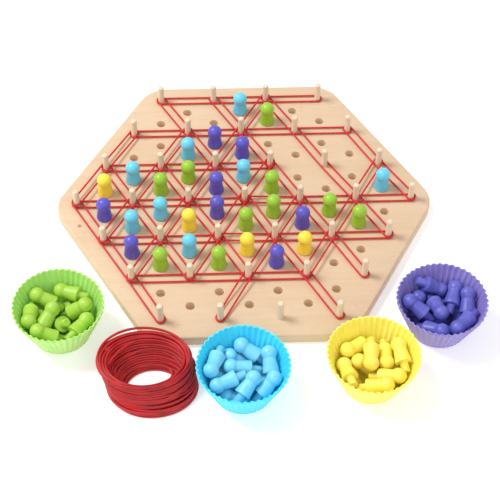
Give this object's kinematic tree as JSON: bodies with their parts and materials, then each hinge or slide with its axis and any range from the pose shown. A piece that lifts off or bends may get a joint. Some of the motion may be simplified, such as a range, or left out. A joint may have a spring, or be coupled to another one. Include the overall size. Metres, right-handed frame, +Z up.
{
  "type": "rubber-band triangle peg game",
  "caption": "Hexagonal wooden peg board with rubber bands stretched over dowel pins, pawns in triangular cells, and fluted silicone cups of spare pawns beside a ring of spare bands.",
  "frame": {"origin": "centre of the board's underside, on the surface the set stands on", "axes": "+X along the rows of pins, to the right as seen from the cups' side; +Y away from the cups; +Z up out of the board"},
  "size_m": [0.355, 0.343, 0.033],
  "materials": {
    "beech": "fine sanded, bare, satin",
    "band_rubber": "satin rubber",
    "plastic_green": "satin injection-moulded plastic",
    "plastic_blue": "satin injection-moulded plastic",
    "plastic_purple": "satin injection-moulded plastic",
    "plastic_yellow": "satin injection-moulded plastic",
    "silicone_green": "soft matt silicone",
    "silicone_blue": "soft matt silicone",
    "silicone_purple": "soft matt silicone",
    "silicone_yellow": "soft matt silicone"
  },
  "bodies": {
    "board": {"board_with_pins": "beech"},
    "pawn_blue_01": {"pawn_blue_01": "plastic_blue"},
    "pawn_green_01": {"pawn_green_01": "plastic_green"},
    "pawn_blue_02": {"pawn_blue_02": "plastic_blue"},
    "pawn_purple_01": {"pawn_purple_01": "plastic_purple"},
    "pawn_purple_02": {"pawn_purple_02": "plastic_purple"},
    "pawn_yellow_01": {"pawn_yellow_01": "plastic_yellow"},
    "pawn_blue_03": {"pawn_blue_03": "plastic_blue"},
    "pawn_green_02": {"pawn_green_02": "plastic_green"},
    "pawn_green_03": {"pawn_green_03": "plastic_green"},
    "pawn_purple_03": {"pawn_purple_03": "plastic_purple"},
    "pawn_blue_04": {"pawn_blue_04": "plastic_blue"},
    "pawn_green_04": {"pawn_green_04": "plastic_green"},
    "pawn_blue_05": {"pawn_blue_05": "plastic_blue"},
    "pawn_purple_04": {"pawn_purple_04": "plastic_purple"},
    "pawn_blue_06": {"pawn_blue_06": "plastic_blue"},
    "pawn_blue_07": {"pawn_blue_07": "plastic_blue"},
    "pawn_yellow_02": {"pawn_yellow_02": "plastic_yellow"},
    "pawn_purple_05": {"pawn_purple_05": "plastic_purple"},
    "pawn_green_05": {"pawn_green_05": "plastic_green"},
    "pawn_green_06": {"pawn_green_06": "plastic_green"},
    "pawn_purple_06": {"pawn_purple_06": "plastic_purple"},
    "pawn_green_07": {"pawn_green_07": "plastic_green"},
    "pawn_green_08": {"pawn_green_08": "plastic_green"},
    "pawn_purple_07": {"pawn_purple_07": "plastic_purple"},
    "pawn_green_09": {"pawn_green_09": "plastic_green"},
    "pawn_blue_08": {"pawn_blue_08": "plastic_blue"},
    "pawn_green_10": {"pawn_green_10": "plastic_green"},
    "pawn_yellow_03": {"pawn_yellow_03": "plastic_yellow"},
    "pawn_purple_08": {"pawn_purple_08": "plastic_purple"},
    "pawn_yellow_04": {"pawn_yellow_04": "plastic_yellow"},
    "bands_across": {"band_line_across_1": "band_rubber", "band_line_across_2": "band_rubber", "band_line_across_3": "band_rubber", "band_line_across_4": "band_rubber", "band_line_across_5": "band_rubber", "band_line_across_6": "band_rubber"},
    "bands_falling": {"band_line_falling_1": "band_rubber", "band_line_falling_2": "band_rubber", "band_line_falling_3": "band_rubber", "band_line_falling_4": "band_rubber", "band_line_falling_5": "band_rubber", "band_line_falling_6": "band_rubber", "band_line_falling_7": "band_rubber"},
    "band_line_rising_1": {"band_line_rising_1": "band_rubber"},
    "band_line_rising_2": {"band_line_rising_2": "band_rubber"},
    "band_line_rising_3": {"band_line_rising_3": "band_rubber"},
    "band_line_rising_4": {"band_line_rising_4": "band_rubber"},
    "band_line_rising_5": {"band_line_rising_5": "band_rubber"},
    "band_line_rising_6": {"band_line_rising_6": "band_rubber"},
    "cup_green": {"cup_green": "silicone_green"},
    "spare_pawns_green": {"spare_pawns_green": "plastic_green"},
    "cup_blue": {"cup_blue": "silicone_blue"},
    "spare_pawns_blue": {"spare_pawns_blue": "plastic_blue"},
    "cup_yellow": {"cup_yellow": "silicone_yellow"},
    "spare_pawns_yellow": {"spare_pawns_yellow": "plastic_yellow"},
    "cup_purple": {"cup_purple": "silicone_purple"},
    "spare_pawns_purple": {"spare_pawns_purple": "plastic_purple"},
    "spare_band_ring": {"spare_band_ring": "band_rubber"}
  },
  "joints": [
    {"name": "lift_pawn_blue_01", "type": "slide", "parent": "board", "child": "pawn_blue_01", "axis": [0, 0, 1], "range_m": [0, 0.03]},
    {"name": "lift_pawn_green_01", "type": "slide", "parent": "board", "child": "pawn_green_01", "axis": [0, 0, 1], "range_m": [0, 0.03]},
    {"name": "lift_pawn_blue_02", "type": "slide", "parent": "board", "child": "pawn_blue_02", "axis": [0, 0, 1], "range_m": [0, 0.03]},
    {"name": "lift_pawn_purple_01", "type": "slide", "parent": "board", "child": "pawn_purple_01", "axis": [0, 0, 1], "range_m": [0, 0.03]},
    {"name": "lift_pawn_purple_02", "type": "slide", "parent": "board", "child": "pawn_purple_02", "axis": [0, 0, 1], "range_m": [0, 0.03]},
    {"name": "lift_pawn_yellow_01", "type": "slide", "parent": "board", "child": "pawn_yellow_01", "axis": [0, 0, 1], "range_m": [0, 0.03]},
    {"name": "lift_pawn_blue_03", "type": "slide", "parent": "board", "child": "pawn_blue_03", "axis": [0, 0, 1], "range_m": [0, 0.03]},
    {"name": "lift_pawn_green_02", "type": "slide", "parent": "board", "child": "pawn_green_02", "axis": [0, 0, 1], "range_m": [0, 0.03]},
    {"name": "lift_pawn_green_03", "type": "slide", "parent": "board", "child": "pawn_green_03", "axis": [0, 0, 1], "range_m": [0, 0.03]},
    {"name": "lift_pawn_purple_03", "type": "slide", "parent": "board", "child": "pawn_purple_03", "axis": [0, 0, 1], "range_m": [0, 0.03]},
    {"name": "lift_pawn_blue_04", "type": "slide", "parent": "board", "child": "pawn_blue_04", "axis": [0, 0, 1], "range_m": [0, 0.03]},
    {"name": "lift_pawn_green_04", "type": "slide", "parent": "board", "child": "pawn_green_04", "axis": [0, 0, 1], "range_m": [0, 0.03]},
    {"name": "lift_pawn_blue_05", "type": "slide", "parent": "board", "child": "pawn_blue_05", "axis": [0, 0, 1], "range_m": [0, 0.03]},
    {"name": "lift_pawn_purple_04", "type": "slide", "parent": "board", "child": "pawn_purple_04", "axis": [0, 0, 1], "range_m": [0, 0.03]},
    {"name": "lift_pawn_blue_06", "type": "slide", "parent": "board", "child": "pawn_blue_06", "axis": [0, 0, 1], "range_m": [0, 0.03]},
    {"name": "lift_pawn_blue_07", "type": "slide", "parent": "board", "child": "pawn_blue_07", "axis": [0, 0, 1], "range_m": [0, 0.03]},
    {"name": "lift_pawn_yellow_02", "type": "slide", "parent": "board", "child": "pawn_yellow_02", "axis": [0, 0, 1], "range_m": [0, 0.03]},
    {"name": "lift_pawn_purple_05", "type": "slide", "parent": "board", "child": "pawn_purple_05", "axis": [0, 0, 1], "range_m": [0, 0.03]},
    {"name": "lift_pawn_green_05", "type": "slide", "parent": "board", "child": "pawn_green_05", "axis": [0, 0, 1], "range_m": [0, 0.03]},
    {"name": "lift_pawn_green_06", "type": "slide", "parent": "board", "child": "pawn_green_06", "axis": [0, 0, 1], "range_m": [0, 0.03]},
    {"name": "lift_pawn_purple_06", "type": "slide", "parent": "board", "child": "pawn_purple_06", "axis": [0, 0, 1], "range_m": [0, 0.03]},
    {"name": "lift_pawn_green_07", "type": "slide", "parent": "board", "child": "pawn_green_07", "axis": [0, 0, 1], "range_m": [0, 0.03]},
    {"name": "lift_pawn_green_08", "type": "slide", "parent": "board", "child": "pawn_green_08", "axis": [0, 0, 1], "range_m": [0, 0.03]},
    {"name": "lift_pawn_purple_07", "type": "slide", "parent": "board", "child": "pawn_purple_07", "axis": [0, 0, 1], "range_m": [0, 0.03]},
    {"name": "lift_pawn_green_09", "type": "slide", "parent": "board", "child": "pawn_green_09", "axis": [0, 0, 1], "range_m": [0, 0.03]},
    {"name": "lift_pawn_blue_08", "type": "slide", "parent": "board", "child": "pawn_blue_08", "axis": [0, 0, 1], "range_m": [0, 0.03]},
    {"name": "lift_pawn_green_10", "type": "slide", "parent": "board", "child": "pawn_green_10", "axis": [0, 0, 1], "range_m": [0, 0.03]},
    {"name": "lift_pawn_yellow_03", "type": "slide", "parent": "board", "child": "pawn_yellow_03", "axis": [0, 0, 1], "range_m": [0, 0.03]},
    {"name": "lift_pawn_purple_08", "type": "slide", "parent": "board", "child": "pawn_purple_08", "axis": [0, 0, 1], "range_m": [0, 0.03]},
    {"name": "lift_pawn_yellow_04", "type": "slide", "parent": "board", "child": "pawn_yellow_04", "axis": [0, 0, 1], "range_m": [0, 0.03]},
    {"name": "lift_bands_across", "type": "slide", "parent": "board", "child": "bands_across", "axis": [0, 0, 1], "range_m": [0, 0.022]},
    {"name": "lift_bands_falling", "type": "slide", "parent": "bands_across", "child": "bands_falling", "axis": [0, 0, 1], "range_m": [0, 0.022]},
    {"name": "lift_band_line_rising_1", "type": "slide", "parent": "bands_falling", "child": "band_line_rising_1", "axis": [0, 0, 1], "range_m": [0, 0.022]},
    {"name": "lift_band_line_rising_2", "type": "slide", "parent": "bands_falling", "child": "band_line_rising_2", "axis": [0, 0, 1], "range_m": [0, 0.022]},
    {"name": "lift_band_line_rising_3", "type": "slide", "parent": "bands_falling", "child": "band_line_rising_3", "axis": [0, 0, 1], "range_m": [0, 0.022]},
    {"name": "lift_band_line_rising_4", "type": "slide", "parent": "bands_falling", "child": "band_line_rising_4", "axis": [0, 0, 1], "range_m": [0, 0.022]},
    {"name": "lift_band_line_rising_5", "type": "slide", "parent": "bands_falling", "child": "band_line_rising_5", "axis": [0, 0, 1], "range_m": [0, 0.022]},
    {"name": "lift_band_line_rising_6", "type": "slide", "parent": "bands_falling", "child": "band_line_rising_6", "axis": [0, 0, 1], "range_m": [0, 0.022]},
    {"name": "lift_cup_green", "type": "slide", "parent": "board", "child": "cup_green", "axis": [0, 0, 1], "range_m": [0, 0.05]},
    {"name": "lift_spare_pawns_green", "type": "slide", "parent": "cup_green", "child": "spare_pawns_green", "axis": [0, 0, 1], "range_m": [0, 0.035]},
    {"name": "lift_cup_blue", "type": "slide", "parent": "board", "child": "cup_blue", "axis": [0, 0, 1], "range_m": [0, 0.05]},
    {"name": "lift_spare_pawns_blue", "type": "slide", "parent": "cup_blue", "child": "spare_pawns_blue", "axis": [0, 0, 1], "range_m": [0, 0.035]},
    {"name": "lift_cup_yellow", "type": "slide", "parent": "board", "child": "cup_yellow", "axis": [0, 0, 1], "range_m": [0, 0.05]},
    {"name": "lift_spare_pawns_yellow", "type": "slide", "parent": "cup_yellow", "child": "spare_pawns_yellow", "axis": [0, 0, 1], "range_m": [0, 0.035]},
    {"name": "lift_cup_purple", "type": "slide", "parent": "board", "child": "cup_purple", "axis": [0, 0, 1], "range_m": [0, 0.05]},
    {"name": "lift_spare_pawns_purple", "type": "slide", "parent": "cup_purple", "child": "spare_pawns_purple", "axis": [0, 0, 1], "range_m": [0, 0.035]},
    {"name": "lift_spare_band_ring", "type": "slide", "parent": "board", "child": "spare_band_ring", "axis": [-0.4, -0.5, 0.7681], "range_m": [0, 0.05]}
  ]
}
